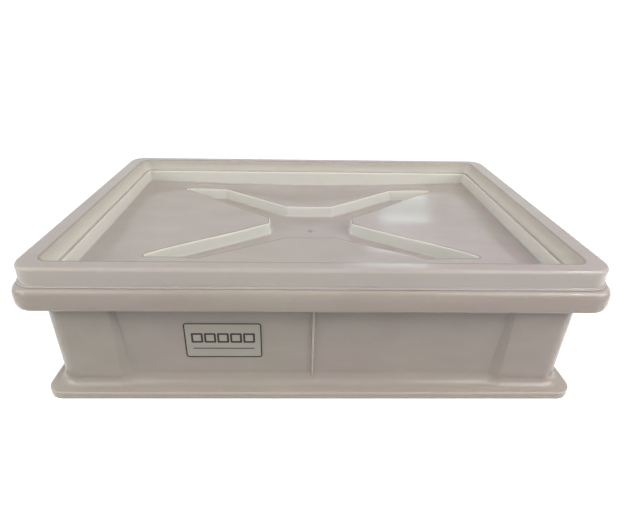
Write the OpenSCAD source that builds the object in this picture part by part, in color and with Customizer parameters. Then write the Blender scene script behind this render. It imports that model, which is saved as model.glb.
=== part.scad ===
// Stacking dough proofing container: a moulded tray, its lift-off lid and a write-on label.
// The origin is the centre of the ring that the tray stands on. +X runs along the long side,
// +Z points up, and the label is on the front wall, which faces -Y.

/* [Footprint and height] */
// Length over the rim
rim_l = 600; // [520:1:760]
// Width over the rim
rim_w = 400; // [340:1:560]
// Corner radius of the rim, seen from above
rim_r = 22; // [12:0.5:30]
// Height of the closed container
closed_h = 164; // [140:1:260]

/* [Tray] */
// Thickness of the tray's walls
wall_t = 3; // [2:0.1:3.8]
// Inset of the wall's outer face from the rim, at the top
wall_in = 18.5; // [18:0.1:22]
// How much further in the wall's foot stands than its top
wall_lean = 1.0; // [0:0.1:2]
// Corner radius of the wall's outer face, seen from above
wall_r = 20; // [16:0.5:26]
// Thickness of the tray's floor
floor_t = 3; // [2:0.1:5]
// Height of the floor's underside above the ground
floor_z = 6; // [4:0.5:7]
// Radius between the floor and the walls, inside
floor_r = 8; // [2:0.5:9]

/* [Rim and lip] */
// Height of the rim's outer band
rim_h = 23.5; // [15:0.5:40]
// Thickness of the rim's band and of the ledge that carries it
rim_t = 3; // [2:0.1:4]
// Rounding of the rim's upper outer edge
rim_edge_r = 3.6; // [1:0.1:4]
// Bevel on the band's lower outer edge
band_edge_r = 0.8; // [0.3:0.1:1.5]
// Thickness of the upright lip that the lid covers
lip_t = 3; // [2:0.1:4]

/* [Foot] */
// Inset of the foot's outer edge from the rim
foot_in = 5.5; // [4.5:0.1:5.9]
// Corner radius of the foot, seen from above
foot_r = 19; // [18:0.5:26]
// Height of the foot's upright edge
foot_h = 9; // [8:0.5:14]
// Thickness of the foot's upright edge
foot_t = 2.2; // [1.8:0.1:2.6]
// Rounding of the foot's upper outer edge
foot_edge_r = 1.5; // [0.5:0.1:3]
// Width of the flat on the foot, outside the hollow curve
foot_flat = 1; // [0.5:0.1:2.5]
// Bevel at the top of the space under the tray
foot_bevel = 1.5; // [0.5:0.1:3]
// Rise of the hollow curve from the foot to the wall, at the corners
foot_rise = 10; // [4:0.5:18]
// Rise of the hollow curve from the foot to a set-back panel
panel_foot_rise = 14; // [4:0.5:20]

/* [Set-back panels] */
// Depth of the set-back panels behind the foot of the wall
panel_depth = 5; // [3:0.1:6]
// Distance from the rim's end to the panel on the long walls
corner_l = 92; // [70:0.5:130]
// Distance from the rim's side to the panel on the short walls
corner_w = 92; // [70:0.5:110]
// Run of the slanted step beside a panel, along the wall
step_run = 4; // [3:0.5:12]
// Width of the middle rib at its top
rib_top_w = 4; // [2:0.1:6]
// Width of the middle rib at its foot
rib_foot_w = 1.4; // [1:0.1:4]
// How far the middle rib stands out at its top
rib_top_out = 5; // [2:0.1:6]
// How far the middle rib stands out at its foot
rib_foot_out = 1.2; // [0.5:0.1:4]

/* [Lid] */
// Thickness of the lid
lid_t = 2.5; // [1.8:0.1:3]
// Inset of the lid's skirt from the rim
lid_in = 8.5; // [8:0.1:9.5]
// Corner radius of the lid, seen from above
lid_r = 15; // [12:0.5:16]
// Height of the lid's skirt
skirt_h = 20.5; // [14:0.5:30]
// Rounding of the lid's upper outer edge
lid_edge_r = 3; // [1:0.1:5]
// Width of the flat land at the short ends
land_l = 20; // [18:0.5:40]
// Width of the flat land along the long sides
land_w = 16; // [16:0.5:40]
// Depth from the land to the step in the lid's recess
first_drop = 16.5; // [8:0.5:17.5]
// Depth from that step to the panel
second_drop = 15.5; // [6:0.5:22]
// How far the recess's walls lean in over each drop
recess_lean = 2; // [0.2:0.1:2.2]
// Width of the step
step_in = 4.2; // [4:0.1:6]
// Corner radius of the recess at the land, seen from above
recess_r = 11; // [10.5:0.5:20]

/* [Pressed cross in the lid] */
// Depth of the cross below the panel
cross_depth = 16; // [4:0.5:18]
// Distance from the panel's end to the tips of the arms
cross_margin_l = 69; // [20:1:90]
// Distance from the panel's side to the ends of the arms
cross_margin_w = 56; // [20:1:70]
// Length of the cut across the end of an arm
arm_end = 65; // [40:1:90]
// Half length of the cross between its short-side notches
hub_l = 56; // [45:1:70]
// Half width of the cross between its long-side notches
hub_w = 52; // [40:1:60]
// Half length of the flat in a long-side notch
hub_flat_l = 32; // [10:1:36]
// Half width of the flat in a short-side notch
hub_flat_w = 10; // [4:1:18]
// Rounding of the cross's corners
cross_r = 3; // [1:0.1:5]
// Diameter of the moulding mark at the middle of the cross
mark_d = 7; // [3:0.5:14]
// Height of the moulding mark
mark_h = 0.4; // [0.2:0.1:1]

/* [Label] */
// Width of the label
label_w = 84.5; // [40:1:120]
// Height of the label
label_h = 47; // [20:1:60]
// Thickness of the label's film
label_t = 0.3; // [0.1:0.1:0.6]
// Corner radius of the label
label_r = 3; // [1:0.5:8]
// Distance from the wall's middle to the label's near edge
label_gap = 55; // [10:1:70]
// Height of the label's middle above the foot
label_up = 57.5; // [45:0.5:70]

/* [Fits] */
// Gap between the lip's top and the lid's land
seat_gap = 0.3; // [0.1:0.1:0.8]
// Gap between the lid's skirt and the ledge
skirt_gap = 0.5; // [0.3:0.1:1.5]
// Gap between the lid's skirt and the lip, on each side
lid_play = 1; // [0.4:0.1:1.5]

/* [Hidden] */
$fn = 64;

// Spare length of a cutting shape past the face that it cuts
past = 2;
// Points on each rounded corner of a profile or outline
arc_steps = 6;

// Heights
land_z = closed_h - lid_t;
lip_z = land_z - seat_gap;
skirt_z = closed_h - skirt_h;
ledge_z = skirt_z - skirt_gap;
plate_z = ledge_z - rim_t;
rim_z = ledge_z - rim_h;
curve_z = foot_h - foot_edge_r;
inside_z = floor_z + floor_t;
lid_step_z = closed_h - first_drop;
lid_panel_z = lid_step_z - second_drop;
cross_z = lid_panel_z - cross_depth;

// Lid, seen from above
lid_l = rim_l - 2 * lid_in;
lid_w = rim_w - 2 * lid_in;

// Insets from the rim of the wall's foot, the panels and the start of the foot's hollow curve
wall_foot_in = wall_in + wall_lean;
panel_in = wall_foot_in + panel_depth;
curve_in = foot_in + foot_edge_r + foot_flat;

// Half sizes of the set-back panels and of the lid's flat panel
panel_half_l = rim_l / 2 - corner_l;
panel_half_w = rim_w / 2 - corner_w;
flat_half_l = lid_l / 2 - land_l - step_in - 2 * recess_lean;
flat_half_w = lid_w / 2 - land_w - step_in - 2 * recess_lean;

// Shape of the slanted step in plan
step_slope = step_run / panel_depth;
step_angle = atan2(panel_depth, step_run);

// Quarter round from an upright side to a level top, as [inset, height]
function top_round(inset, top, r) =
    [for (i = [0 : arc_steps]) let (a = 90 * i / arc_steps)
        [inset + r * (1 - cos(a)), top - r * (1 - sin(a))]];

// Quarter round from a level floor to an upright side, as [inset, height]
function floor_round(inset, bottom, r) =
    [for (i = [0 : arc_steps]) let (a = 90 * i / arc_steps)
        [inset + r * (1 - sin(a)), bottom + r * (1 - cos(a))]];

// Hollow curve that starts level and ends upright, as [inset, height]
function hollow_rise(run, low, rise) =
    [for (i = [0 : arc_steps]) let (a = 90 * i / arc_steps)
        [run * sin(a), low + rise * (1 - cos(a))]];

function unit(v) = v / norm(v);
function left_of(v) = [-v.y, v.x];

// A counter-clockwise outline with every edge moved outwards by g
function grown(pts, g) = let (n = len(pts))
    [for (i = [0 : n - 1]) let (
        u = unit(pts[i] - pts[(i + n - 1) % n]),
        v = unit(pts[(i + 1) % n] - pts[i]))
        pts[i] - g * (left_of(u) + left_of(v)) / (1 + u * v)];

// The same outline with its outer corners and its notches rounded
function rounded(pts, corner_r, notch_r) = let (n = len(pts))
    [for (i = [0 : n - 1]) let (
        u = unit(pts[i] - pts[(i + n - 1) % n]),
        v = unit(pts[(i + 1) % n] - pts[i]),
        side = sign(cross(u, v)),
        r = side > 0 ? corner_r : notch_r,
        turn = acos(u * v),
        start = pts[i] - u * r * tan(turn / 2),
        centre = start + left_of(u) * side * r)
        for (k = [0 : arc_steps]) let (a = side * turn * k / arc_steps, arm = start - centre)
            centre + [arm.x * cos(a) - arm.y * sin(a), arm.x * sin(a) + arm.y * cos(a)]];

// Outline of the cross: its arms run to the corners and end parallel to the long sides
tip_l = flat_half_l - cross_margin_l;
tip_w = flat_half_w - cross_margin_w;
cross_quarter = [[hub_l, hub_flat_w], [tip_l, tip_w], [tip_l - arm_end, tip_w], [hub_flat_l, hub_w]];
cross_outline = concat(
    cross_quarter,
    [for (i = [3 : -1 : 0]) [-cross_quarter[i].x, cross_quarter[i].y]],
    [for (p = cross_quarter) -p],
    [for (i = [3 : -1 : 0]) [cross_quarter[i].x, -cross_quarter[i].y]]);

// Solid rounded rectangle. Its side follows a list of [inset, height], lowest point first
module block(l, w, r, side) {
    low = side[0][1];
    high = side[len(side) - 1][1];
    rotate([90, 0, 90])
        linear_extrude(l - 2 * r, center = true)
            polygon(concat(
                [for (p = side) [w / 2 - p[0], p[1]]],
                [for (i = [len(side) - 1 : -1 : 0]) [side[i][0] - w / 2, side[i][1]]]));
    for (turn = [0, 180])
        rotate([90, 0, turn])
            linear_extrude(w - 2 * r, center = true)
                polygon(concat(
                    [[l / 2 - r, low]],
                    [for (p = side) [l / 2 - p[0], p[1]]],
                    [[l / 2 - r, high]]));
    for (turn = [0 : 90 : 270])
        translate([
            (turn == 0 || turn == 270 ? 1 : -1) * (l / 2 - r),
            (turn < 135 ? 1 : -1) * (w / 2 - r),
            0])
            rotate(turn)
                rotate_extrude(angle = 90)
                    polygon(concat([[0, low]], [for (p = side) [r - p[0], p[1]]], [[0, high]]));
}

// Rounded rectangle from one height to another
module slab(l, w, r, low, high) {
    block(l, w, r, [[0, low], [0, high]]);
}

// Ledge that carries the lid, with the outer band that hangs from it
module rim() {
    difference() {
        block(rim_l, rim_w, rim_r, concat(
            [[band_edge_r, rim_z], [0, rim_z + band_edge_r]],
            top_round(0, ledge_z, rim_edge_r)));
        slab(rim_l - 2 * rim_t, rim_w - 2 * rim_t, rim_r - rim_t, rim_z - past, plate_z);
    }
}

// Upright lip inside the lid's skirt
module lip() {
    inset = lid_t + lid_play;
    inner = inset + lip_t;
    difference() {
        slab(lid_l - 2 * inset, lid_w - 2 * inset, lid_r - inset, plate_z, lip_z);
        slab(lid_l - 2 * inner, lid_w - 2 * inner, lid_r - inner, plate_z - past, lip_z + past);
    }
}

// Space in front of one set-back panel, as seen from above, moved inwards by t
module panel_plan(half, side_w, t) {
    back = side_w / 2 - panel_in - t;
    flat = half + t * tan(step_angle / 2);
    out = panel_in + t + past;
    polygon([
        [flat, -back],
        [-flat, -back],
        [-flat - step_slope * out, -back - out],
        [flat + step_slope * out, -back - out]]);
}

// The four spaces in front of the set-back panels, from one height to another
module panel_spaces(t, low, high) {
    for (turn = [0, 180])
        rotate(turn)
            translate([0, 0, low])
                linear_extrude(high - low)
                    panel_plan(panel_half_l, rim_w, t);
    for (turn = [90, 270])
        rotate(turn)
            translate([0, 0, low])
                linear_extrude(high - low)
                    panel_plan(panel_half_w, rim_l, t);
}

// Solid that rises from the foot in a hollow curve, on the wall's outline
module foot_curve(to_in, rise) {
    block(rim_l - 2 * curve_in, rim_w - 2 * curve_in, wall_r + wall_foot_in - curve_in,
          concat([[0, curve_z]], hollow_rise(to_in - curve_in, foot_h, rise)));
}

// Outer shape of the tray below its rim, solid
module tray_outside() {
    block(rim_l - 2 * foot_in, rim_w - 2 * foot_in, foot_r,
          concat([[0, 0]], top_round(0, foot_h, foot_edge_r)));
    difference() {
        union() {
            block(rim_l - 2 * wall_in, rim_w - 2 * wall_in, wall_r,
                  [[wall_lean, floor_z], [0, plate_z]]);
            foot_curve(wall_foot_in, foot_rise);
        }
        panel_spaces(0, foot_h, plate_z);
    }
    foot_curve(panel_in, panel_foot_rise);
}

// Space inside the tray, open at the top
module tray_inside() {
    inset = wall_in + wall_t;
    difference() {
        block(rim_l - 2 * inset, rim_w - 2 * inset, wall_r - wall_t, concat(
            floor_round(wall_lean, inside_z, floor_r),
            [[0, ledge_z + past]]));
        panel_spaces(wall_t, inside_z - past, ledge_z + 2 * past);
    }
}

// Space under the tray, which takes the top of the lid below when containers are stacked
module foot_hollow() {
    inset = foot_in + foot_t;
    block(rim_l - 2 * inset, rim_w - 2 * inset, foot_r - foot_t,
          [[0, -past], [0, floor_z - foot_bevel], [foot_bevel, floor_z]]);
}

// Rib up the middle of a panel, thinning towards the foot
module middle_rib(side_w) {
    face = side_w / 2 - panel_in;
    foot_top = foot_h + panel_foot_rise;
    intersection() {
        translate([0, wall_t / 2 - face, 0])
            rotate([90, 0, 0])
                linear_extrude(rib_top_out + wall_t)
                    polygon([
                        [-rib_foot_w / 2, foot_h],
                        [rib_foot_w / 2, foot_h],
                        [rib_top_w / 2, plate_z],
                        [-rib_top_w / 2, plate_z]]);
        rotate([90, 0, 90])
            linear_extrude(2 * rib_top_w, center = true)
                polygon([
                    [wall_t / 2 - face, foot_h],
                    [wall_t / 2 - face, plate_z],
                    [-face - rib_top_out, plate_z],
                    [-face - rib_foot_out, foot_top],
                    [-face - rib_foot_out, foot_h]]);
    }
}

module box() {
    color([0.80, 0.78, 0.74])
    difference() {
        union() {
            tray_outside();
            rim();
            lip();
            for (turn = [0, 180]) rotate(turn) middle_rib(rim_w);
            for (turn = [90, 270]) rotate(turn) middle_rib(rim_l);
        }
        tray_inside();
        foot_hollow();
    }
}

// Recess of the lid with its step, panel and cross, with every face moved outwards by g
module lid_recess(g, top) {
    low_in = recess_lean + step_in;
    block(lid_l - 2 * (land_l - g), lid_w - 2 * (land_w - g), recess_r + g, [
        [low_in + recess_lean, lid_panel_z - g],
        [low_in, lid_step_z - g],
        [recess_lean, lid_step_z - g],
        [0, top]]);
    translate([0, 0, cross_z - g])
        linear_extrude(lid_panel_z - cross_z)
            polygon(rounded(grown(cross_outline, g), cross_r + g, max(cross_r - g, 0.5)));
}

module lid() {
    color([0.84, 0.82, 0.79]) {
        difference() {
            union() {
                difference() {
                    block(lid_l, lid_w, lid_r,
                          concat([[0, skirt_z]], top_round(0, closed_h, lid_edge_r)));
                    slab(lid_l - 2 * lid_t, lid_w - 2 * lid_t, lid_r - lid_t,
                         skirt_z - past, land_z);
                }
                lid_recess(lid_t, land_z);
            }
            lid_recess(0, closed_h + past);
        }
        translate([0, 0, cross_z]) cylinder(h = mark_h, d = mark_d);
    }
}

module label() {
    face = rim_w / 2 - panel_in;
    corner = [label_w / 2 - label_r, label_h / 2 - label_r];
    color([0.93, 0.92, 0.90])
        translate([-label_gap - label_w / 2, -face, foot_h + label_up])
            rotate([90, 0, 0])
                linear_extrude(label_t) {
                    square([label_w, 2 * corner.y], center = true);
                    square([2 * corner.x, label_h], center = true);
                    for (sx = [-1, 1], sy = [-1, 1])
                        translate([sx * corner.x, sy * corner.y]) circle(r = label_r);
                }
}

box();
lid();
label();
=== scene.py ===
import math

import bpy
from mathutils import Matrix, Vector
from mathutils.geometry import delaunay_2d_cdt


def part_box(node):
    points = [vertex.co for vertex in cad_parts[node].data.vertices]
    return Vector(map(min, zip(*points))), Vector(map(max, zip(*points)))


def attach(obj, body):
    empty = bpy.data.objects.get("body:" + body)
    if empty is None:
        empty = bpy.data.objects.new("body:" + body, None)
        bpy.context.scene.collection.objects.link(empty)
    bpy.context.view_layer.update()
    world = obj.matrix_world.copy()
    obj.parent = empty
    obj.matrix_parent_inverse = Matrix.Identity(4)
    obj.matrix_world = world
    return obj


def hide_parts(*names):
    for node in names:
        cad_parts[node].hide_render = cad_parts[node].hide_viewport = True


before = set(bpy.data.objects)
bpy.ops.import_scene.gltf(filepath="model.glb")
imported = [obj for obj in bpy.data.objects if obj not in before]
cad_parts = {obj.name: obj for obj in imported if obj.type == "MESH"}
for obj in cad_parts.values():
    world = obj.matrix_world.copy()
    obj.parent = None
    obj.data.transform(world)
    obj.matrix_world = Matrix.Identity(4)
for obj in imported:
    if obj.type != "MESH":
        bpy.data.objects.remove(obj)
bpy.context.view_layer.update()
mm = 0.001

# The camera stands where the photograph was taken from: in front of the long side, looking down.
# Lengths are in millimetres and angles in degrees. The middle and the frame are in pixels
camera = {
    "place": (-19.1, -564.8, 377.6), "turn": 1.296, "tilt": 27.17, "roll": 0.987,
    "lens": 25.31, "sensorWidth": 36, "clipStart": 10,
    "middleX": 305.2, "middleY": 249.6, "frameWidth": 639, "frameHeight": 520,
}


def makeCamera(spec):
    turn, tilt, roll = (math.radians(spec[key]) for key in ("turn", "tilt", "roll"))
    ahead = Vector((math.sin(turn) * math.cos(tilt), math.cos(turn) * math.cos(tilt), -math.sin(tilt)))
    level = Vector((math.cos(turn), -math.sin(turn), 0))
    upright = level.cross(ahead)
    right = math.cos(roll) * level + math.sin(roll) * upright
    above = math.cos(roll) * upright - math.sin(roll) * level
    data = bpy.data.cameras.new("camera")
    data.lens = spec["lens"]
    data.sensor_width = spec["sensorWidth"]
    data.clip_start = spec["clipStart"] * mm
    data.shift_x = (spec["frameWidth"] / 2 - spec["middleX"]) / spec["frameWidth"]
    data.shift_y = (spec["middleY"] - spec["frameHeight"] / 2) / spec["frameWidth"]
    eye = bpy.data.objects.new("camera", data)
    eye.matrix_world = Matrix.Translation(Vector(spec["place"]) * mm) @ Matrix(
        (right, above, -ahead)).transposed().to_4x4()
    bpy.context.collection.objects.link(eye)
    bpy.context.scene.camera = eye


makeCamera(camera)
print("camera placed")

# Shapes. Sizes are in millimetres, and insets are counted inwards from the rim's outer edge

rim = {"length": 600, "width": 400}

# Each stretch of a shape has rounded corners, seen from above. The radius here is the one that
# the corner would have at the rim's edge, and it shrinks by the inset
cornerBase = {
    "rim": 24, "foot": 24.5, "wall": 38.5, "lid": 30, "land": 37, "recess": 39.5, "middle": 80,
}
leastCorner = 0.3  # no corner is sharper
cornerSteps = 14

# Distances along a side are true up to the first value of a pair. From there to the second, where
# the wall's corner starts, they stretch to meet the corner. The first pair is for the long sides
keep = ((215, rim["length"] / 2 - cornerBase["wall"]), (125, rim["width"] / 2 - cornerBase["wall"]))

# The most of a line that the rounding at its end may take
longestReach = 0.48


# Half length, half width and corner radius of the ring at an inset
def ringSize(inset, zone, longer=0, wider=0):
    return (rim["length"] / 2 - inset + longer, rim["width"] / 2 - inset + wider,
            max(cornerBase[zone] - inset, leastCorner))


# A quarter of an ellipse round a corner, from one angle to the other, in degrees
def roundQuarter(middle, reach, first, last, zone, steps=9):
    line = []
    for k in range(steps + 1):
        angle = math.radians(first + (last - first) * k / steps)
        line.append((middle[0] + reach[0] * math.cos(angle), middle[1] + reach[1] * math.sin(angle), zone))
    return line


# Rounds the corners of a line. A corner is (inset, height, rounding, zone), and the zone is passed on
def roundedLine(corners, steps=5):
    line = []
    for i, (x, z, rounding, zone) in enumerate(corners):
        if rounding == 0:
            line.append((x, z, zone))
            continue
        here = Vector((x, z))
        before = Vector(corners[i - 1][:2]) - here
        after = Vector(corners[i + 1][:2]) - here
        half = before.angle(after) / 2
        reach = min(rounding / math.tan(half), longestReach * before.length, longestReach * after.length)
        radius = reach * math.tan(half)
        start = before.normalized() * reach
        end = after.normalized() * reach
        centre = (start + end).normalized() * (radius / math.sin(half))
        first = math.atan2(start.y - centre.y, start.x - centre.x)
        last = math.atan2(end.y - centre.y, end.x - centre.x)
        sweep = (last - first + math.pi) % (2 * math.pi) - math.pi
        for k in range(steps + 1):
            angle = first + sweep * k / steps
            line.append((x + centre.x + radius * math.cos(angle),
                         z + centre.y + radius * math.sin(angle), zone))
    return line


# A place round a ring is ("side", number, distance along) or ("corner", number, degrees).
# Side 0 is the front, and the numbers run counter-clockwise
def ringPoint(place, size):
    kind, number, value = place
    halfL, halfW, corner = size
    reachAlong, reachAcross = (halfL, halfW) if number % 2 == 0 else (halfW, halfL)
    if kind == "side":
        core, reference = keep[number % 2]
        beyond = abs(value) - core
        if beyond > 0:
            straight = reachAlong - corner
            value = math.copysign(core + beyond / (reference - core) * (straight - core), value)
        x, y = value, -reachAcross
    else:
        angle = math.radians(value - 90)
        x = reachAlong - corner + corner * math.cos(angle)
        y = corner - reachAcross + corner * math.sin(angle)
    return [(x, y), (-y, x), (-x, -y), (y, -x)][number]


# Places round one corner of a ring, without its ends
def cornerPlaces(number):
    return [("corner", number, 90 * k / cornerSteps) for k in range(1, cornerSteps)]


# Normals weighted by area keep wide flats flat beside their small roundings
def smoothed(mesh):
    normals = [Vector() for _ in mesh.vertices]
    for face in mesh.polygons:
        for corner in face.vertices:
            normals[corner] += face.normal * face.area
    mesh.shade_smooth()
    mesh.normals_split_custom_set_from_vertices([normal.normalized() for normal in normals])


def makePiece(name, points, faces):
    mesh = bpy.data.meshes.new(name)
    mesh.from_pydata([Vector(point) * mm for point in points], [], faces)
    mesh.validate()
    smoothed(mesh)
    piece = bpy.data.objects.new(name, mesh)
    bpy.context.collection.objects.link(piece)
    return piece


# Joins two rows of equally many points into a band of faces, closed round the end
def band(first, second):
    count = len(first)
    return [(first[j], first[(j + 1) % count], second[(j + 1) % count], second[j]) for j in range(count)]


def bands(rows):
    return [face for first, second in zip(rows, rows[1:]) for face in band(first, second)]


tray = {
    "footInset": 5.5, "footThickness": 2.2, "footHeight": 9, "footRounding": 3,
    "ringChamfer": 1.5, "ringRoundings": (1, 0.8, 0.4, 0.5),  # from the underside down and outwards
    "curveInset": 8, "wallFoot": 19.5, "wallTop": 18.5, "rise": 10, "wallEnd": 4,
    "panelDepth": 5, "panelRise": 14, "panelHalf": (208, 108),
    "stepRun": 4, "stepRounding": 1.8, "stepFade": 30,
    "stepSpread": (8.0, 1.0),  # how much wider the slanted step is at its foot, towards each side
    "spreadPower": 1.5,
    "underside": 6, "floor": 9, "floorRounding": 8, "wallThickness": 3, "middleInset": 60,
    "rimLow": 119.5, "rimTop": 143, "rimThickness": 3, "rimRounding": (6.5, 11), "rimCurl": (2.6, 9),
    "ledgeRounding": 1.2, "shelfRounding": 1.5, "longer": {"rim": 1.5},
    "lipInset": 12, "lipTop": 161.2, "lipThickness": 3, "lipRounding": 1, "lipFoot": 0.8,
    "ribFoot": (0.7, 1.2), "ribTop": (2.0, 5.0),  # half width and how far it stands out
    "ribEnd": 0.01, "join": 1,  # below the plate, and between two stretches of the section
    "curveSteps": 9, "wallSteps": 6, "panelSteps": 8, "endSteps": 3,
}
panelInset = tray["wallFoot"] + tray["panelDepth"]

# Half of the rib, from its middle outwards: the distance along, the share of the rib's height and
# the share of the rib's width that is added to the distance
ribColumns = ((0, 1, 0), (-0.5, 1, 1), (-0.15, 0.85, 1), (0, 0.5, 1), (0.3, 0.06, 1), (0.9, 0, 1))


# The tray's section from the floor's underside out, up the outside and down the inside.
# At 0 it passes through a corner of the wall and at 1 through a set-back panel
def traySection(panel):
    t = tray
    plate = t["rimTop"] - t["rimThickness"]
    wallFoot = t["wallFoot"] + panel * (panelInset - t["wallFoot"])
    wallTop = t["wallTop"] + panel * (panelInset - t["wallTop"])
    wallEnd = plate - t["wallEnd"]
    rise = t["rise"] + panel * (t["panelRise"] - t["rise"])
    inner = t["footInset"] + t["footThickness"]
    chamfer = t["ringChamfer"]
    start, slope, inside, outside = t["ringRoundings"]
    under = roundedLine([
        (t["middleInset"], t["underside"], 0, "middle"),
        (inner + chamfer, t["underside"], start, "foot"),
        (inner, t["underside"] - chamfer, slope, "foot"),
        (inner, 0, inside, "foot"),
        (t["footInset"], 0, outside, "foot"),
        (t["footInset"], t["footHeight"], t["footRounding"], "foot"),
        (t["curveInset"], t["footHeight"], 0, "wall")])
    run = wallFoot - t["curveInset"]
    curve = []
    for k in range(1, t["curveSteps"] + 1):
        angle = math.radians(90 * k / t["curveSteps"])
        curve.append((t["curveInset"] + run * math.sin(angle),
                      t["footHeight"] + rise * (1 - math.cos(angle)), "wall"))
    curveTop = t["footHeight"] + rise
    wall = [(wallFoot + (wallTop - wallFoot) * k / t["wallSteps"],
             curveTop + (wallEnd - curveTop) * k / t["wallSteps"], "wall")
            for k in range(1, t["wallSteps"] + 1)]
    ledge = roundedLine([
        (wallTop, wallEnd, 0, "wall"),
        (wallTop, plate, t["ledgeRounding"], "wall"),
        (t["rimThickness"], plate, t["ledgeRounding"], "rim"),
        (t["rimThickness"], t["rimLow"] + t["join"], 0, "rim")])[1:]
    curl, edge = t["rimCurl"], t["rimRounding"]
    rimBand = roundQuarter((curl[0], t["rimLow"] + curl[1]), curl, 270, 180, "rim")
    rimBand += roundQuarter((edge[0], t["rimTop"] - edge[1]), edge, 180, 90, "rim")
    lipInner = t["lipInset"] + t["lipThickness"]
    over = roundedLine([
        (edge[0] + t["join"], t["rimTop"], 0, "rim"),
        (t["lipInset"], t["rimTop"], t["lipFoot"], "lid"),
        (t["lipInset"], t["lipTop"], t["lipRounding"], "lid"),
        (lipInner, t["lipTop"], t["lipRounding"], "lid"),
        (lipInner, t["rimTop"], t["lipFoot"], "lid"),
        (wallTop + t["wallThickness"], t["rimTop"], t["shelfRounding"], "wall"),
        (wallFoot + t["wallThickness"], t["floor"], t["floorRounding"], "wall"),
        (t["middleInset"], t["floor"], 0, "middle")])
    return under + curve + wall + ledge + rimBand + over


# Columns round the tray: the place, the share of the panel's depth, the share of the rib's height
# and the side of the rib that the column leans with
def trayColumns():
    t = tray
    fade = t["stepFade"]
    depth = t["panelDepth"]
    columns = []
    for number in range(4):
        half = t["panelHalf"][number % 2]
        wallEnd = keep[number % 2][1]
        plan = roundedLine([
            (half - fade, depth, 0, ""),
            (half, depth, t["stepRounding"], ""),
            (half + t["stepRun"], 0, t["stepRounding"], ""),
            (half + fade, 0, 0, "")], steps=4)
        right = [(along, 1, rib, lean) for along, rib, lean in ribColumns]
        right += [((half - fade) * k / t["panelSteps"], 1, 0, 0) for k in range(1, t["panelSteps"])]
        right += [(along, out / depth, 0, 0) for along, out, _ in plan]
        right += [(half + fade + (wallEnd - half - fade) * k / t["endSteps"], 0, 0, 0)
                  for k in range(1, t["endSteps"] + 1)]
        left = [(-along, panel, rib, -lean) for along, panel, rib, lean in reversed(right[1:])]
        columns += [(("side", number, along), panel, rib, lean) for along, panel, rib, lean in left + right]
        columns += [(place, 0, 0, 0) for place in cornerPlaces(number)]
    return columns


# The slanted steps beside a panel spread towards the foot, and the wall next to them gives way
def stepShift(along, half, low):
    inwards, outwards = tray["stepSpread"]
    run = tray["stepRun"]
    fade = tray["stepFade"]
    beyond = abs(along) - half
    if beyond < 0:
        shift = -inwards * max(1 + beyond / fade, 0)
    elif beyond < run:
        shift = outwards * beyond / run - inwards * (1 - beyond / run)
    else:
        shift = outwards * max(1 - (beyond - run) / fade, 0)
    return math.copysign(1, along) * shift * low


def makeTray():
    wallSection, panelSection = traySection(0), traySection(1)
    plate = tray["rimTop"] - tray["rimThickness"]
    span = plate - tray["footHeight"]
    columns = trayColumns()
    points = []
    rows = []
    wallDone = False
    for (wallX, wallZ, zone), (panelX, panelZ, _) in zip(wallSection, panelSection):
        wallDone = wallDone or wallZ > plate - tray["ribEnd"]
        row = []
        for place, panel, rib, lean in columns:
            inset = wallX + panel * (panelX - wallX)
            height = wallZ + panel * (panelZ - wallZ)
            share = min(max((height - tray["footHeight"]) / span, 0), 1)
            ribHalf, ribOut = (foot + share * (top - foot)
                               for foot, top in zip(tray["ribFoot"], tray["ribTop"]))
            if not wallDone:
                inset += rib * min(panelInset - ribOut - inset, 0)
            size = ringSize(inset, zone, tray["longer"].get(zone, 0))
            kind, number, along = place
            along += lean * ribHalf
            if kind == "side":
                low = (1 - share) ** tray["spreadPower"]
                along += stepShift(along, tray["panelHalf"][number % 2], low)
            x, y = ringPoint((kind, number, along), size)
            row.append(len(points))
            points.append((x, y, height))
        rows.append(row)
    return makePiece("tray", points, bands(rows) + [tuple(reversed(rows[0])), tuple(rows[-1])])


trayPiece = makeTray()
print("tray made")

# The lid. Its panel isn't flat: it sags towards the middle of the long sides, and lifts between
# its middle and its corners
lid = {
    "edgeInset": 8.5, "thickness": 2.5, "top": 164, "edgeRounding": 4,
    "skirtLow": 142.75, "skirtRounding": 0.4,
    "bead": (2.2, 1.8), "beadRounding": 0.7, "beadSlope": 0.6, "beadHollow": 2,
    "landInset": 26, "landRounding": 1.4, "recessInset": 28.5, "lean": 2,
    "step": 147.5, "stepWidth": 4.2, "stepRounding": 1.4,
    "panel": 132, "panelRounding": 2.5, "margin": 6, "netSpacing": 14, "panelStart": 1,
    "underRoundings": (5, 0.6, 3.5, 0.5, 0.6),  # from the panel out to the skirt
    "longer": {"lid": 4}, "wider": {"land": 1.5, "recess": 4, "middle": 4},
    "sagMiddle": -0.5, "sagSides": 7, "lift": 6.5, "liftPowers": (1.45, 1.7),
    "paintedShadeStart": 2.2, "paintedShadeInside": 1.5, "paintedShadeDown": 0.5,  # in roundings of the land's inner edge: where painted shade along that edge starts, and how far across and down the edge it reaches
    # Painted light on the steep walls: the margin round the recess, how steepness counts, and the skirt's
    # share
    "paintedWallLightMargin": (1, 5), "steepGain": 1.6, "skirtShare": 0.3,
}
stepInset = lid["recessInset"] + lid["lean"]
panelFoot = stepInset + lid["stepWidth"] + lid["lean"]
lidPanelHalf = ringSize(panelFoot, "recess", wider=lid["wider"]["recess"])[:2]

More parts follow.
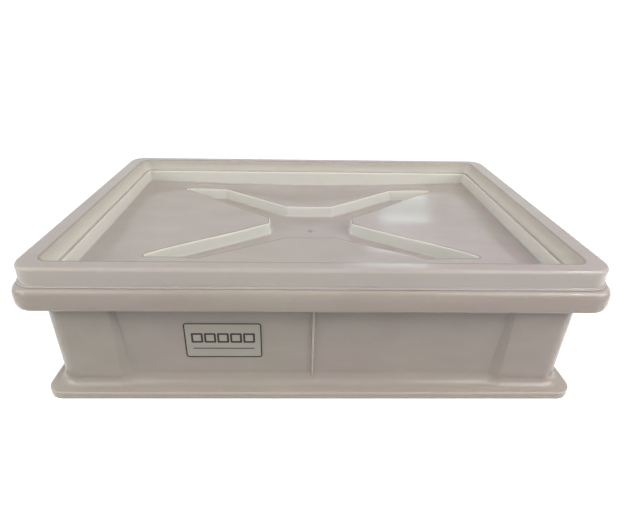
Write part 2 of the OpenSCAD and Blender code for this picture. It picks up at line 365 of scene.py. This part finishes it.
# The pressed cross. A quarter of its outline runs from the notch at its right, round one arm, to
# the notch behind its middle
cross = {
    "quarter": ((56, 10), (198.3, 114), (129.3, 114), (32, 52)),
    "depth": 16, "slope": 2.5, "topRounding": 1.6, "floorRounding": 2.5,
    "underShift": 1.8, "underTopRounding": 0.5, "underFloorRounding": 5,
    "margin": 6, "lipWidth": 3, "floorMargin": 5, "floorRise": 1, "riseReach": 200, "floorShare": 0.8,
    "tipRounding": 3, "cornerRounding": 4, "notchRounding": 3, "leastRounding": 1.2,
    "tipTurn": -0.5,  # a corner whose sides have a smaller cosine than this is a tip
    "cornerSteps": 5, "edgeSteps": 10, "netSpacing": 10,
}


def lidSection():
    d = lid
    t = d["thickness"]
    ring = panelFoot + d["margin"]
    beadInset = d["edgeInset"] - d["bead"][0]
    beadTop = d["skirtLow"] + d["bead"][1]
    low, stepInner, stepOuter, land, skirt = d["underRoundings"]
    return roundedLine([
        (ring, d["panel"] - t, 0, "middle"),
        (panelFoot - t, d["panel"] - t, low, "recess"),
        (panelFoot - t - d["lean"], d["step"] - t, stepInner, "recess"),
        (stepInset - t, d["step"] - t, stepOuter, "recess"),
        (d["landInset"] - t, d["top"] - t, land, "land"),
        (d["edgeInset"] + t, d["top"] - t, skirt, "lid"),
        (d["edgeInset"] + t, d["skirtLow"], d["skirtRounding"], "lid"),
        (beadInset, d["skirtLow"], d["beadRounding"], "lid"),
        (beadInset, beadTop, d["beadRounding"], "lid"),
        (d["edgeInset"], beadTop + d["beadSlope"], d["beadHollow"], "lid"),
        (d["edgeInset"], d["top"], d["edgeRounding"], "lid"),
        (d["landInset"] - d["paintedShadeStart"] * d["landRounding"], d["top"], 0, "land"),
        (d["landInset"], d["top"], d["landRounding"], "land"),
        (stepInset, d["step"], d["stepRounding"], "recess"),
        (stepInset + d["stepWidth"], d["step"], d["stepRounding"], "recess"),
        (panelFoot, d["panel"], d["panelRounding"], "recess"),
        (ring, d["panel"], 0, "middle")])


# How far the panel stands above its level at a point
def panelLift(x, y):
    u = min(abs(x) / lidPanelHalf[0], 1)
    v = min(abs(y) / lidPanelHalf[1], 1)
    powerX, powerY = lid["liftPowers"]
    sag = (1 - u * u) * (lid["sagSides"] * v * v + lid["sagMiddle"] * (1 - v * v))
    return lid["lift"] * math.sin(math.pi * u ** powerX) * math.sin(math.pi * v ** powerY) - sag


# Depth of the cross's floor below the panel's level. The arms rise a little towards their tips
def floorDepth(x, y):
    return cross["depth"] - cross["floorRise"] * min(math.hypot(x, y) / cross["riseReach"], 1)


# The outline of the cross, grown by a distance, with its corners and its notches rounded
def crossLoop(grow):
    turned = [(-x, y) for x, y in reversed(cross["quarter"])]
    outline = [Vector(point) for point in (*cross["quarter"], *turned)]
    outline += [-point for point in outline]
    count = len(outline)
    ways = [(outline[(i + 1) % count] - outline[i]).normalized() for i in range(count)]
    steps = cross["cornerSteps"]
    loop = []
    for i in range(count):
        before, after = ways[i - 1], ways[i]
        left = Vector((-before.y - after.y, before.x + after.x))
        here = outline[i] - left * grow / (1 + before.dot(after))
        turn = before.cross(after)
        corner = cross["tipRounding"] if before.dot(after) < cross["tipTurn"] else cross["cornerRounding"]
        rounding = corner + grow if turn > 0 else cross["notchRounding"] - grow
        rounding = max(rounding, cross["leastRounding"])
        half = before.angle(after) / 2
        side = math.copysign(1, turn)
        start = here - before * rounding * math.tan(half)
        centre = start + Vector((-before.y, before.x)) * side * rounding
        for k in range(steps + 1):
            arm = start - centre
            arm.rotate(Matrix.Rotation(side * 2 * half * k / steps, 2))
            loop.append(centre + arm)
    full = []
    for i, point in enumerate(loop):
        full.append(point)
        if i % (steps + 1) == steps:
            following = loop[(i + 1) % len(loop)]
            full += [point.lerp(following, k / cross["edgeSteps"]) for k in range(1, cross["edgeSteps"])]
    return full


# Levels of the cross from the panel down to its floor: how far the outline grows, and the depth
def crossLevels(shift, topRounding, floorRounding):
    foot = shift - cross["slope"]
    line = roundedLine([
        (cross["margin"] + shift, 0, 0, ""),
        (cross["lipWidth"] + shift, 0, 0, ""),
        (shift, 0, topRounding, ""),
        (foot, -cross["depth"], floorRounding, ""),
        (foot - cross["floorMargin"], -cross["depth"], 0, "")], steps=4)
    return [(grow, depth) for grow, depth, _ in line]


def inLoop(x, y, loop):
    inside = False
    for a, b in zip(loop, loop[1:] + loop[:1]):
        if (a.y > y) != (b.y > y) and x < a.x + (y - a.y) / (b.y - a.y) * (b.x - a.x):
            inside = not inside
    return inside


# Points of a net that are closer than this count as one
samePlace = 1e-5


# Fills the space between an outer loop and an inner one with an even net of triangles.
# Returns the added points and the faces, counted from the loops' own points
def fillBetween(outer, inner, spacing):
    def between(point):
        return inLoop(point.x, point.y, outer) and not (inner and inLoop(point.x, point.y, inner))

    loops = [outer] + ([inner] if inner else [])
    fixed = [point for loop in loops for point in loop]
    edges = []
    start = 0
    for loop in loops:
        edges += [(start + i, start + (i + 1) % len(loop)) for i in range(len(loop))]
        start += len(loop)
    countX = int(max(point.x for point in outer) / spacing)
    countY = int(max(point.y for point in outer) / spacing)
    extra = []
    for i in range(-countX, countX + 1):
        for j in range(-countY, countY + 1):
            here = Vector((i * spacing, j * spacing))
            if between(here) and min((point - here).length for point in fixed) > spacing / 2:
                extra.append(here)
    verts, _, tris, _, _, _ = delaunay_2d_cdt(fixed + extra, edges, [], 0, samePlace)
    if len(verts) != len(fixed) + len(extra):
        raise RuntimeError("the loops of the lid's panel cross each other")
    faces = [tuple(tri) for tri in tris if between(sum((verts[i] for i in tri), Vector((0, 0))) / 3)]
    return extra, faces


# Closes one side of the lid's panel: the flat part, the walls of the cross and its floor.
# Returns the faces and the points along the cross's lips, which get painted shade
def closePanel(points, ring, level, levels, upwards):
    def place(flat, depth):
        share = -depth / cross["depth"]
        lift = panelLift(flat.x, flat.y) * (1 - share * (1 - cross["floorShare"]))
        lift -= share * floorDepth(flat.x, flat.y)
        points.append((flat.x, flat.y, level + lift))
        return len(points) - 1

    def netFaces(loop, net, extra, depth):
        names = loop + [place(flat, depth) for flat in extra]
        return [tuple(names[i] for i in tri) for tri in net]

    loops = [crossLoop(grow) for grow, _ in levels]
    rows = [[place(flat, depth) for flat in loop] for loop, (_, depth) in zip(loops, levels)]
    outer = [Vector(points[i][:2]) for i in ring]
    extra, net = fillBetween(outer, loops[0], lid["netSpacing"])
    faces = netFaces(ring + rows[0], net, extra, 0) + bands(rows)
    extra, net = fillBetween(loops[-1], None, cross["netSpacing"])
    faces += netFaces(rows[-1], net, extra, levels[-1][1])
    if not upwards:
        faces = [tuple(reversed(face)) for face in faces]
    paintedShadeLips = rows[2] + rows[3]  # where the rounding of the cross's upper edge starts; these points get painted shade
    return faces, paintedShadeLips


def writeValues(piece, name, values):
    piece.data.attributes.new(name, "FLOAT", "POINT").data.foreach_set("value", values)


def makeLid():
    section = lidSection()
    places = []
    for number in range(4):
        wallEnd = keep[number % 2][1]
        parts = 2 * round(wallEnd / lid["netSpacing"])
        places += [("side", number, wallEnd * (2 * k / parts - 1)) for k in range(parts + 1)]
        places += cornerPlaces(number)
    points = []
    rows = []
    drop = lid["step"] - lid["panel"]
    for i, (inset, height, zone) in enumerate(section):
        size = ringSize(inset, zone, lid["longer"].get(zone, 0), lid["wider"].get(zone, 0))
        under = lid["thickness"] if 2 * i < len(section) else 0  # the underside comes first
        lifted = inset > stepInset + lid["panelStart"]
        share = min(max((lid["step"] - under - height) / drop, 0), 1) if lifted else 0
        row = []
        for place in places:
            x, y = ringPoint(place, size)
            row.append(len(points))
            points.append((x, y, height + share * panelLift(x, y)))
        rows.append(row)
    upperLevels = crossLevels(0, cross["topRounding"], cross["floorRounding"])
    lowerLevels = crossLevels(cross["underShift"], cross["underTopRounding"], cross["underFloorRounding"])
    above, paintedShadeLips = closePanel(points, rows[-1], lid["panel"], upperLevels, True)
    below, _ = closePanel(points, rows[0], lid["panel"] - lid["thickness"], lowerLevels, False)
    # Painted shade: these points along the land's inner edge are drawn darker as well
    edge = lid["landInset"] - lid["paintedShadeInside"] * lid["landRounding"]
    lowest = lid["top"] - lid["paintedShadeDown"] * lid["landRounding"]
    for (inset, height, zone), row in zip(section, rows):
        if zone == "land" and inset > edge and height > lowest:
            paintedShadeLips += row
    piece = makePiece("cover", points, bands(rows) + above + below)
    values = [0.0] * len(points)
    for i in paintedShadeLips:
        values[i] = 1.0
    writeValues(piece, "paintedShadeLips", values)
    return piece


# Painted light: the steep walls of the recess and of the cross, which are thinner, get a lighter colour that
# stands in for the light showing through them and bouncing inside the recess.
# The attribute says how steep the moulding is, from 0 to 1, and counts the skirt for less
def markPaintedWallLight(piece):
    marginX, marginY = lid["paintedWallLightMargin"]
    reachX = (rim["length"] / 2 - lid["recessInset"] + marginX) * mm
    reachY = (rim["width"] / 2 - lid["recessInset"] + marginY) * mm
    values = []
    for vertex in piece.data.vertices:
        x, y, z = vertex.co
        inside = abs(x) < reachX and abs(y) < reachY and z < (lid["top"] - lid["landRounding"]) * mm
        steep = min(max((1 - abs(vertex.normal.z)) * lid["steepGain"], 0), 1)
        values.append(steep if inside else steep * lid["skirtShare"])
    writeValues(piece, "paintedWallLight", values)


lidPiece = makeLid()
markPaintedWallLight(lidPiece)
print("lid made")

# A round mark stands at the middle of the cross, where the plastic was let into the mould.
# Its profile is how far in from the edge and how high, and starts inside the floor
gate = {"radius": 3.5, "profile": ((0, -0.3), (0, 0.24), (0.15, 0.4), (1, 0.4), (1.2, 0.16)), "steps": 32}


def makeGateMark():
    floor = lid["panel"] - cross["depth"] + cross["floorShare"] * panelLift(0, 0)
    points = []
    rows = []
    for inwards, up in gate["profile"]:
        out = gate["radius"] - inwards
        row = []
        for k in range(gate["steps"]):
            angle = 2 * math.pi * k / gate["steps"]
            row.append(len(points))
            points.append((out * math.cos(angle), out * math.sin(angle), floor + up))
        rows.append(row)
    return makePiece("gateMark", points, [tuple(reversed(rows[0])), tuple(rows[-1])] + bands(rows))


gateMark = makeGateMark()


# Adds a node, with a link into each socket that is given another socket, and a value into the rest
def addNode(tree, kind, sockets=None, **settings):
    node = tree.nodes.new(kind)
    for name, value in settings.items():
        setattr(node, name, value)
    for name, value in (sockets or {}).items():
        if isinstance(value, bpy.types.NodeSocket):
            tree.links.new(value, node.inputs[name])
        else:
            node.inputs[name].default_value = value
    return node


def addMath(tree, operation, first, second):
    return addNode(tree, "ShaderNodeMath", {0: first, 1: second}, operation=operation).outputs[0]


def addMix(tree, share, first, second, blend="MIX"):
    return addNode(tree, "ShaderNodeMix", {0: share, 6: first, 7: second},
                   data_type="RGBA", blend_type=blend).outputs[2]


# The print on the label: a border, a row of tick boxes and a ruled line to write on
labelPrint = {
    "inset": 1.3, "border": 1.5, "rounding": 2.6, "relief": 0.14, "filletSteps": 6,
    "boxes": 5, "boxSize": 10.5, "boxPitch": 14.0, "boxLine": 2.2, "boxUp": 3.5, "boxRounding": 0.4,
    "lines": 1, "lineLength": 66.5, "lineWidth": 1.2, "linePitch": 7.0, "lineUp": -10.5,
}
printLengths = {
    "Border": "border", "Rounding": "rounding", "Relief": "relief",
    "Box Size": "boxSize", "Box Pitch": "boxPitch", "Box Line": "boxLine", "Box Up": "boxUp",
    "Box Rounding": "boxRounding", "Line Length": "lineLength", "Line Width": "lineWidth",
    "Line Pitch": "linePitch", "Line Up": "lineUp",
}


# Tree of the print. It lies flat, and its sizes are in metres
def labelPrintTree(material):
    tree = bpy.data.node_groups.new("labelPrint", "GeometryNodeTree")
    for name in ("Width", "Height", *printLengths):
        tree.interface.new_socket(name=name, in_out="INPUT", socket_type="NodeSocketFloat")
    for name in ("Boxes", "Lines"):
        tree.interface.new_socket(name=name, in_out="INPUT", socket_type="NodeSocketInt")
    tree.interface.new_socket(name="Geometry", in_out="OUTPUT", socket_type="NodeSocketGeometry")
    given = addNode(tree, "NodeGroupInput").outputs

    def vector(x=0.0, y=0.0, z=0.0):
        return addNode(tree, "ShaderNodeCombineXYZ", {"X": x, "Y": y, "Z": z}).outputs[0]

    def rectangle(width, height):
        return addNode(tree, "GeometryNodeCurvePrimitiveQuadrilateral",
                       {"Width": width, "Height": height}).outputs[0]

    def outlined(width, height, line, rounding):
        fillet = addNode(tree, "GeometryNodeFilletCurve", {
            "Curve": rectangle(width, height), "Radius": rounding, "Count": labelPrint["filletSteps"]},
            mode="POLY")
        profile = rectangle(line, given["Relief"])
        return addNode(tree, "GeometryNodeCurveToMesh",
                       {"Curve": fillet.outputs[0], "Profile Curve": profile}).outputs[0]

    def row(count, start, step, shape):
        points = addNode(tree, "GeometryNodeMeshLine",
                         {"Count": count, "Start Location": start, "Offset": step}).outputs[0]
        return addNode(tree, "GeometryNodeInstanceOnPoints",
                       {"Points": points, "Instance": shape}).outputs[0]

    border = outlined(given["Width"], given["Height"], given["Border"], given["Rounding"])
    box = outlined(given["Box Size"], given["Box Size"], given["Box Line"], given["Box Rounding"])
    span = addMath(tree, "MULTIPLY", given["Box Pitch"], addMath(tree, "SUBTRACT", given["Boxes"], 1.0))
    start = vector(addMath(tree, "MULTIPLY", span, -0.5), given["Box Up"])
    boxes = row(given["Boxes"], start, vector(given["Box Pitch"]), box)
    size = vector(given["Line Length"], given["Line Width"], given["Relief"])
    line = addNode(tree, "GeometryNodeMeshCube", {"Size": size}).outputs[0]
    lines = row(given["Lines"], vector(0.0, given["Line Up"]), vector(0.0, given["Line Pitch"]), line)
    joined = addNode(tree, "GeometryNodeJoinGeometry")
    for shape in (lines, boxes, border):
        tree.links.new(shape, joined.inputs[0])
    whole = addNode(tree, "GeometryNodeRealizeInstances", {"Geometry": joined.outputs[0]}).outputs[0]
    finished = addNode(tree, "GeometryNodeSetMaterial", {"Geometry": whole, "Material": material})
    addNode(tree, "NodeGroupOutput", {"Geometry": finished.outputs[0]})
    return tree


def makeLabelPrint(material):
    low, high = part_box("label")
    border = 2 * labelPrint["inset"] * mm
    values = {name: labelPrint[key] * mm for name, key in printLengths.items()}
    values["Width"] = (high.x - low.x) - border
    values["Height"] = (high.z - low.z) - border
    values["Boxes"] = labelPrint["boxes"]
    values["Lines"] = labelPrint["lines"]
    tree = labelPrintTree(material)
    holder = bpy.data.objects.new("printHolder", bpy.data.meshes.new("printHolder"))
    bpy.context.collection.objects.link(holder)
    modifier = holder.modifiers.new("print", "NODES")
    modifier.node_group = tree
    for item in tree.interface.items_tree:
        if item.in_out == "INPUT":
            modifier[item.identifier] = values[item.name]
    evaluated = holder.evaluated_get(bpy.context.evaluated_depsgraph_get())
    mesh = bpy.data.meshes.new_from_object(evaluated)
    bpy.data.objects.remove(holder)
    middle = (low + high) / 2
    face = Vector((middle.x, low.y, middle.z))
    mesh.transform(Matrix.Translation(face) @ Matrix.Rotation(math.radians(90), 4, "X"))
    piece = bpy.data.objects.new("labelPrint", mesh)
    bpy.context.collection.objects.link(piece)
    return piece


# Materials. Colours are written as they show on a screen, from 0 to 1

def screenColour(red, green, blue):
    return tuple((c / 12.92 if c <= 0.04045 else ((c + 0.055) / 1.055) ** 2.4)
                 for c in (red, green, blue)) + (1.0,)


# Inputs of the moulded skin, and the values of a finish that they take
skinColours = {
    "Colour": "colour", "Warm Colour": "warmColour", "Painted Wall Light Colour": "paintedWallLightColour",
    "Painted Foot Light": "paintedFootLight",
}
skinNumbers = {
    "Foot Height": "footHeight", "Painted Lip Shade": "paintedLipShade", "Drift Scale": "driftScale", "Drift": "drift",
    "Grain Scale": "grainScale", "Roughness": "roughness", "Scuffs": "scuffs",
}

# The skin's noises: how fine and detailed each is, and how it is drawn out. What a noise makes
# grows from nothing at its low value to the full at its high one
noises = {
    "drift": {"detail": 3.0, "stretch": (1, 1, 1), "low": 0.38, "high": 0.62},
    "cloud": {"scale": 34.0, "detail": 5.0, "stretch": (0.45, 1, 1), "low": 0.3, "high": 0.7},
    "scratch": {"scale": 240.0, "detail": 2.0, "stretch": (0.12, 1, 1), "low": 0.66, "high": 0.74},
    "scuff": {"scale": 55.0, "detail": 5.0, "stretch": (1, 1, 1), "low": 0.55, "high": 0.75},
    "grain": {"detail": 4.0, "stretch": (1, 1, 1)},
}
# Painted shade along the lips takes the lip colour over the lip range of the attribute
skinMarks = {
    "cloudShade": (0.95, 1.03), "paintedShadeRange": (0.2, 0.9), "paintedShadeColour": (0.05, 0.045, 0.04, 1.0),
    "wornRoughness": 0.22, "scratchHeight": -0.35,
}


# Moulded plastic: slow drifts of colour, a fine grain and faint scuffs. It also paints light on the steep
# walls and near the foot, and paints shade along the lips
def mouldedSkin():
    group = bpy.data.node_groups.new("mouldedSkin", "ShaderNodeTree")
    for name in skinColours:
        group.interface.new_socket(name=name, in_out="INPUT", socket_type="NodeSocketColor")
    for name in skinNumbers:
        group.interface.new_socket(name=name, in_out="INPUT", socket_type="NodeSocketFloat")
    for name, kind in (("Colour", "NodeSocketColor"), ("Roughness", "NodeSocketFloat"),
                       ("Height", "NodeSocketFloat")):
        group.interface.new_socket(name=name, in_out="OUTPUT", socket_type=kind)
    given = addNode(group, "NodeGroupInput").outputs
    place = addNode(group, "ShaderNodeTexCoord").outputs["Object"]

    def noise(name, scale=None):
        spec = noises[name]
        mapped = addNode(group, "ShaderNodeMapping",
                         {"Vector": place, "Scale": spec["stretch"]}).outputs[0]
        return addNode(group, "ShaderNodeTexNoise", {
            "Vector": mapped, "Scale": spec["scale"] if scale is None else scale,
            "Detail": spec["detail"]}).outputs[0]

    def ranged(value, low, high, newLow, newHigh):
        return addNode(group, "ShaderNodeMapRange", {
            "Value": value, "From Min": low, "From Max": high, "To Min": newLow, "To Max": newHigh},
            clamp=True).outputs[0]

    def marks(name, least, most, scale=None):
        return ranged(noise(name, scale), noises[name]["low"], noises[name]["high"], least, most)

    def attribute(name):
        return addNode(group, "ShaderNodeAttribute", attribute_name=name).outputs["Fac"]

    drift = marks("drift", 0.0, given["Drift"], given["Drift Scale"])
    colour = addMix(group, drift, given["Colour"], given["Warm Colour"])
    cloud = marks("cloud", *skinMarks["cloudShade"])
    cloudShade = addNode(group, "ShaderNodeCombineColor", {0: cloud, 1: cloud, 2: cloud}).outputs[0]
    colour = addMix(group, 1.0, colour, cloudShade, "MULTIPLY")
    # Painted light: steep walls take a lighter colour
    colour = addMix(group, attribute("paintedWallLight"), colour, given["Painted Wall Light Colour"])
    # Painted shade: a dark colour along the lips of the cross and the land's inner edge
    paintedLipShade = ranged(attribute("paintedShadeLips"), *skinMarks["paintedShadeRange"], 0.0, given["Painted Lip Shade"])
    colour = addMix(group, paintedLipShade, colour, skinMarks["paintedShadeColour"])
    # Painted light: the tray turns lighter towards the floor, for the light that the floor throws back onto
    # its foot
    above = addNode(group, "ShaderNodeSeparateXYZ", {"Vector": place}).outputs["Z"]
    low = ranged(above, 0.0, given["Foot Height"], 1.0, 0.0)
    colour = addMix(group, low, colour, given["Painted Foot Light"])
    scratch = marks("scratch", 0.0, given["Scuffs"])
    scuff = marks("scuff", 0.0, given["Scuffs"])
    worn = addMath(group, "MULTIPLY", addMath(group, "ADD", scratch, scuff), skinMarks["wornRoughness"])
    rough = addMath(group, "ADD", given["Roughness"], worn)
    lowered = addMath(group, "MULTIPLY", scratch, skinMarks["scratchHeight"])
    height = addMath(group, "ADD", noise("grain", given["Grain Scale"]), lowered)
    addNode(group, "NodeGroupOutput", {"Colour": colour, "Roughness": rough, "Height": height})
    return group


# What a finish has where it says nothing else
plainFinish = {
    "footHeight": 0.01, "paintedLipShade": 0, "ior": 1.49, "bumpHeight": 0.2,
    "scatter": 0.0, "scatterReach": 1.0, "scatterColours": (1.0, 0.9, 0.75),
}
finishes = {
    "trayPlastic": {
        "colour": (0.685, 0.65, 0.605), "warmColour": (0.685, 0.635, 0.605),
        # The foot colour paints light near the floor: the tray turns lighter below the foot height
        "driftScale": 5.0, "drift": 0.9, "paintedFootLight": (0.74, 0.71, 0.67), "footHeight": 16,
        "grainScale": 900.0, "roughness": 0.16, "scuffs": 0.4, "bump": 0.12,
        "scatter": 1.0, "scatterReach": 9.0,
    },
    "lidPlastic": {
        "colour": (0.70, 0.665, 0.63), "warmColour": (0.705, 0.652, 0.645),
        # The lighter colour paints light on the steep walls, and the lip shade paints shade along the lips
        "driftScale": 4.0, "drift": 0.9, "paintedWallLightColour": (0.91, 0.885, 0.83), "paintedLipShade": 0.42,
        "grainScale": 900.0, "roughness": 0.14, "scuffs": 0.3, "bump": 0.08,
        "scatter": 1.0, "scatterReach": 9.0,
    },
    "labelFilm": {
        "colour": (0.66, 0.64, 0.59), "warmColour": (0.67, 0.635, 0.60),
        "driftScale": 12.0, "drift": 0.5,
        "grainScale": 1600.0, "roughness": 0.3, "scuffs": 0.5, "bump": 0.05,
    },
    "printInk": {
        "colour": (0.06, 0.055, 0.05), "warmColour": (0.10, 0.09, 0.085),
        "driftScale": 90.0, "drift": 1.0,
        "grainScale": 1800.0, "roughness": 0.42, "scuffs": 0.6, "bump": 0.05,
    },
}


def plasticMaterial(name, finish, skinGroup):
    spec = {**plainFinish, **finish}
    material = bpy.data.materials.new(name)
    material.use_nodes = True
    tree = material.node_tree
    skin = addNode(tree, "ShaderNodeGroup", node_tree=skinGroup)
    for socket, key in skinColours.items():
        skin.inputs[socket].default_value = screenColour(*spec.get(key, spec["colour"]))
    for socket, key in skinNumbers.items():
        skin.inputs[socket].default_value = spec[key]
    skin.inputs["Foot Height"].default_value = spec["footHeight"] * mm
    bump = addNode(tree, "ShaderNodeBump", {
        "Height": skin.outputs["Height"], "Strength": spec["bump"], "Distance": spec["bumpHeight"] * mm})
    shader = tree.nodes["Principled BSDF"]
    tree.links.new(skin.outputs["Colour"], shader.inputs["Base Color"])
    tree.links.new(skin.outputs["Roughness"], shader.inputs["Roughness"])
    tree.links.new(bump.outputs[0], shader.inputs["Normal"])
    shader.inputs["IOR"].default_value = spec["ior"]
    shader.inputs["Subsurface Weight"].default_value = spec["scatter"]
    shader.inputs["Subsurface Radius"].default_value = spec["scatterColours"]
    shader.inputs["Subsurface Scale"].default_value = spec["scatterReach"] * mm
    return material


skinGroup = mouldedSkin()
materials = {name: plasticMaterial(name, finish, skinGroup) for name, finish in finishes.items()}

trayPiece.data.materials.append(materials["trayPlastic"])
for piece in (lidPiece, gateMark):
    piece.data.materials.append(materials["lidPlastic"])
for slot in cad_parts["label"].material_slots:
    slot.material = materials["labelFilm"]
printPiece = makeLabelPrint(materials["printInk"])
print("materials made")

# The floor and the world are white to the camera and in reflections, and give little light back
# to the walls. Near the container the floor is partly lit, which keeps its shadow
surroundings = {
    "floorSize": 12000, "bounce": 0.42, "ambient": 0.22, "lift": 0.5, "fadeFrom": 500, "fadeTo": 1300,
    "roughness": 0.9,
}


def grey(level):
    return (level, level, level, 1.0)


def seenShare(tree):
    path = addNode(tree, "ShaderNodeLightPath").outputs
    some = addMath(tree, "MAXIMUM", path["Is Camera Ray"], path["Is Glossy Ray"])
    return addMath(tree, "MAXIMUM", some, path["Is Transmission Ray"])


def floorFinish():
    material = bpy.data.materials.new("paleFloor")
    material.use_nodes = True
    tree = material.node_tree
    seen = seenShare(tree)
    place = addNode(tree, "ShaderNodeTexCoord").outputs["Object"]
    away = addNode(tree, "ShaderNodeVectorMath", {0: place}, operation="LENGTH").outputs["Value"]
    far = addNode(tree, "ShaderNodeMapRange", {
        "Value": away, "From Min": surroundings["fadeFrom"] * mm, "From Max": surroundings["fadeTo"] * mm},
        interpolation_type="SMOOTHSTEP").outputs[0]
    lit = addMix(tree, far, grey(1.0), grey(0.0))
    base = addMix(tree, seen, grey(surroundings["bounce"]), lit)
    glow = addMix(tree, far, grey(surroundings["lift"]), grey(1.0))
    shown = addMix(tree, seen, grey(0.0), glow)
    shader = tree.nodes["Principled BSDF"]
    tree.links.new(base, shader.inputs["Base Color"])
    tree.links.new(shown, shader.inputs["Emission Color"])
    shader.inputs["Emission Strength"].default_value = 1.0
    shader.inputs["Roughness"].default_value = surroundings["roughness"]
    shader.inputs["Specular IOR Level"].default_value = 0.0
    return material


def makeSurroundings():
    reach = surroundings["floorSize"] / 2
    points = [(-reach, -reach, 0), (reach, -reach, 0), (reach, reach, 0), (-reach, reach, 0)]
    floor = makePiece("floor", points, [(0, 1, 2, 3)])
    floor.data.materials.append(floorFinish())
    world = bpy.data.worlds.new("studio")
    world.use_nodes = True
    bpy.context.scene.world = world
    tree = world.node_tree
    seen = addMix(tree, seenShare(tree), grey(surroundings["ambient"]), grey(1.0))
    tree.links.new(seen, tree.nodes["Background"].inputs["Color"])


# Each lamp is a flat panel: where it stands as an angle to the right of +Y, an angle above the
# floor and a distance, its width and height, its power and its colour
white = (1.0, 1.0, 1.0)
windowBlue = (0.75, 0.97, 1.0)
lampWarm = (1.0, 0.98, 0.94)
lamps = {
    "overhead": {"turn": 0, "rise": 86, "far": 2200, "size": (2400, 1800), "power": 8, "colour": white},
    "frontRight": {"turn": 130, "rise": 42, "far": 2400, "size": (1500, 1200), "power": 15, "colour": white},
    "frontLeft": {"turn": 230, "rise": 42, "far": 2400, "size": (1500, 1200), "power": 10, "colour": white},
    "lowRight": {"turn": 115, "rise": 27, "far": 2400, "size": (1500, 1000), "power": 19, "colour": white},
    "lowLeft": {"turn": 245, "rise": 24, "far": 2400, "size": (1500, 1000), "power": 17, "colour": white},
    "back": {"turn": 0, "rise": 50, "far": 2400, "size": (2200, 1000), "power": 3, "colour": white},
    "windowLow": {"turn": 18, "rise": 26.3, "far": 2600, "size": (330, 110), "power": 0.4,
                  "colour": windowBlue},
    "windowHigh": {"turn": 16.5, "rise": 32.5, "far": 2600, "size": (520, 200), "power": 0.9,
                   "colour": windowBlue},
    "lampRight": {"turn": 126, "rise": 45, "far": 2600, "size": (150, 60), "power": 3, "colour": lampWarm},
    "lampMiddle": {"turn": 175, "rise": 50, "far": 2600, "size": (70, 60), "power": 1.6, "colour": lampWarm},
}


def makeLamp(name, spec):
    turn, rise = math.radians(spec["turn"]), math.radians(spec["rise"])
    way = Vector((math.sin(turn) * math.cos(rise), math.cos(turn) * math.cos(rise), math.sin(rise)))
    data = bpy.data.lights.new(name, "AREA")
    data.shape = "RECTANGLE"
    data.size, data.size_y = (length * mm for length in spec["size"])
    data.energy = spec["power"]
    data.color = spec["colour"]
    piece = bpy.data.objects.new(name, data)
    piece.location = way * spec["far"] * mm
    piece.rotation_euler = way.to_track_quat("Z", "Y").to_euler()
    piece.visible_camera = False
    bpy.context.collection.objects.link(piece)


makeSurroundings()
for name, spec in lamps.items():
    makeLamp(name, spec)
bpy.context.scene.view_settings.view_transform = "Standard"
print("lights set")

# Each piece rides on its body, and the two mouldings stand for the plain solids
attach(trayPiece, "box")
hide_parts("box")
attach(lidPiece, "lid")
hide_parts("lid")
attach(gateMark, "lid")
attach(printPiece, "box")

print("pieces bound to the frame")
